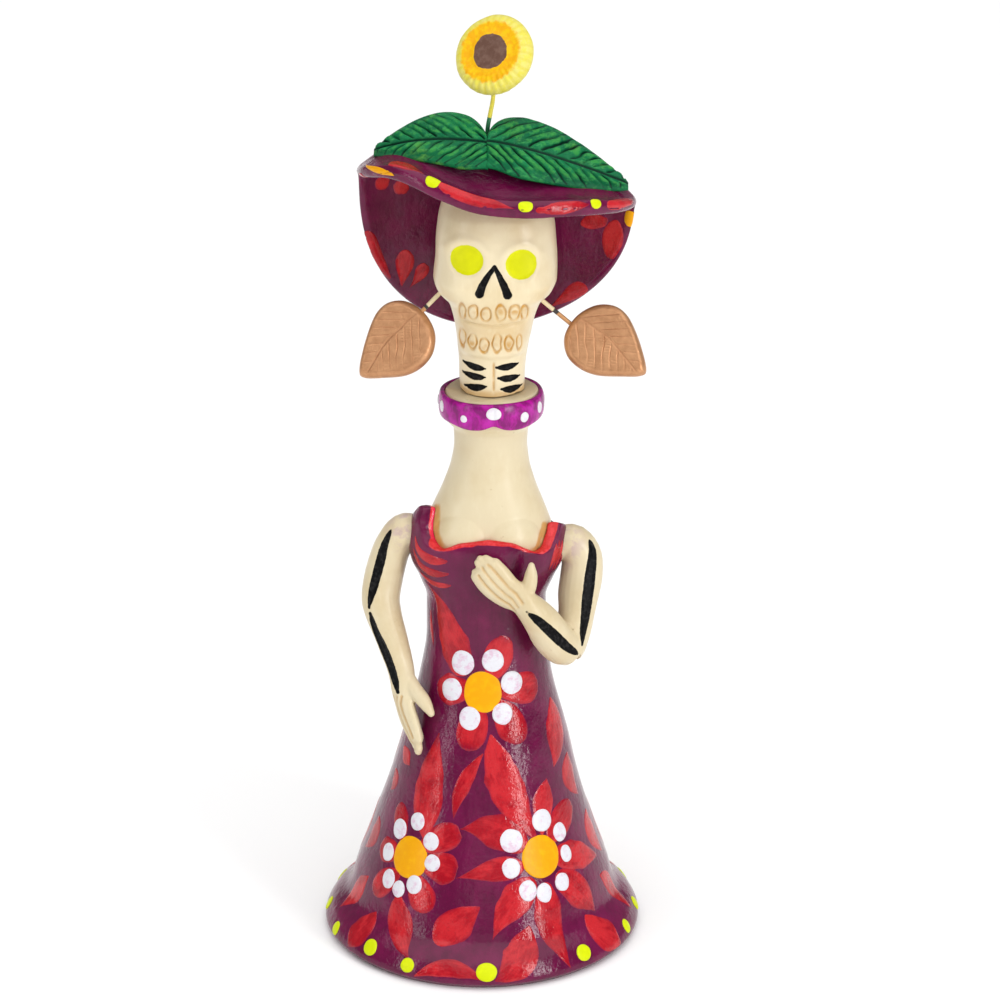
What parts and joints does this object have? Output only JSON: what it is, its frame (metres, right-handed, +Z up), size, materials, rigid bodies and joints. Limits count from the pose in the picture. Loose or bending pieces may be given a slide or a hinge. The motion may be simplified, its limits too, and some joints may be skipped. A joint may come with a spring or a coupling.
{
  "type": "catrina figure",
  "caption": "Standing skeleton lady in a flared painted dress, with a loose head in a draped hat, a wired flower and wired leaf earrings.",
  "frame": {"origin": "centre of the dress's foot ring, on the surface the figure stands on", "axes": "+Z up, the figure faces -Y, +X is the figure's own left"},
  "size_m": [0.0858, 0.0858, 0.2501],
  "materials": {
    "purple_clay": "painted and varnished fired clay",
    "cream_clay": "painted and varnished fired clay",
    "magenta_clay": "painted and varnished fired clay",
    "green_clay": "painted fired clay",
    "yellow_clay": "painted fired clay",
    "copper_clay": "metallic copper paint on fired clay",
    "wire": "annealed wire, partly painted",
    "peg_wood": "plain wooden dowel"
  },
  "bodies": {
    "figure": {"dress": "purple_clay", "bust": "cream_clay", "choker": "magenta_clay", "right_arm": "cream_clay", "left_arm": "cream_clay"},
    "peg": {"neck_peg": "peg_wood"},
    "head": {"skull": "cream_clay", "hat": "purple_clay", "right_hat_leaf": "green_clay", "left_hat_leaf": "green_clay"},
    "flower": {"flower_stem": "wire", "flower_disc": "yellow_clay"},
    "right_earring": {"right_ear_wire": "wire", "right_ear_leaf": "copper_clay"},
    "left_earring": {"left_ear_wire": "wire", "left_ear_leaf": "copper_clay"}
  },
  "joints": [
    {"name": "head_turn", "type": "hinge", "parent": "figure", "child": "peg", "pos_m": [0.0029, 0, 0.1526], "axis": [0, 0, 1], "continuous": true},
    {"name": "head_lift", "type": "slide", "parent": "peg", "child": "head", "axis": [0, 0, 1], "range_m": [0, 0.02]},
    {"name": "flower_bend", "type": "hinge", "parent": "head", "child": "flower", "pos_m": [0.00175, -0.003, 0.217], "axis": [0, 1, 0], "range_deg": [-6, 6]},
    {"name": "right_earring_bend", "type": "hinge", "parent": "head", "child": "right_earring", "pos_m": [-0.0103, -0.002, 0.1789], "axis": [0, 1, 0], "range_deg": [-8, 8]},
    {"name": "left_earring_bend", "type": "hinge", "parent": "head", "child": "left_earring", "pos_m": [0.0152, -0.002, 0.1772], "axis": [0, 1, 0], "range_deg": [-8, 8]}
  ]
}
